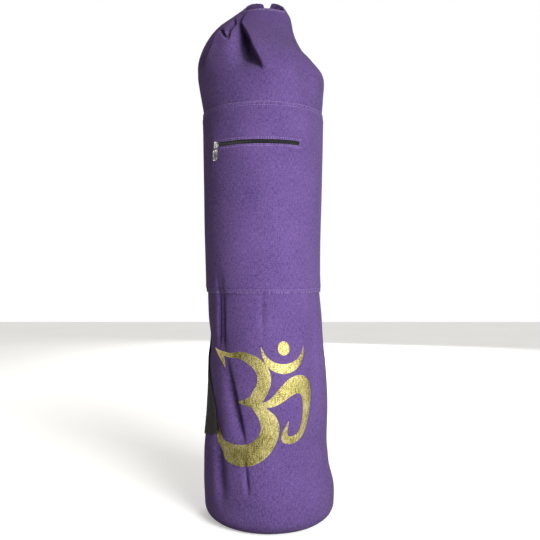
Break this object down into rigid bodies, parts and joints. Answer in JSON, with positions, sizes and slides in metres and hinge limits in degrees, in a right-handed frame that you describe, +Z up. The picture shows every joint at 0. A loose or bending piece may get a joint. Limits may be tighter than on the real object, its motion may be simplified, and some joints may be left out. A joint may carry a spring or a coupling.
{
  "type": "yoga mat bag",
  "caption": "Tall round canvas bag for a rolled exercise mat, with a gathered neck, a zip pocket across the front and a webbing shoulder strap.",
  "frame": {"origin": "middle of the flat round base panel, on the surface that the bag stands on", "axes": "+Z up along the bag's length, the pocket and zip face -Y, +X to the right of someone looking at the front"},
  "size_m": [0.1882, 0.1871, 0.7117],
  "materials": {
    "canvas": "plain-woven purple cotton canvas",
    "zip_tape": "black woven tape",
    "zip_coil": "black moulded coil",
    "nickel": "nickel plate, lightly rubbed",
    "webbing": "black ribbed webbing",
    "gold_print": "gold foil print on cloth"
  },
  "bodies": {
    "bag": {"body_wall": "canvas", "base_panel": "canvas", "pocket_panel": "canvas", "zip_tape_upper": "zip_tape", "zip_tape_lower": "zip_tape", "zip_coil_upper": "zip_coil", "zip_coil_lower": "zip_coil", "zip_slider": "nickel", "shoulder_strap": "webbing"},
    "pull": {"zip_pull": "nickel"}
  },
  "joints": [
    {"name": "pull_swing", "type": "hinge", "parent": "bag", "child": "pull", "pos_m": [-0.07041, -0.06194, 0.496], "axis": [-0.7132, 0.7009, 0], "range_deg": [0, 170]}
  ]
}
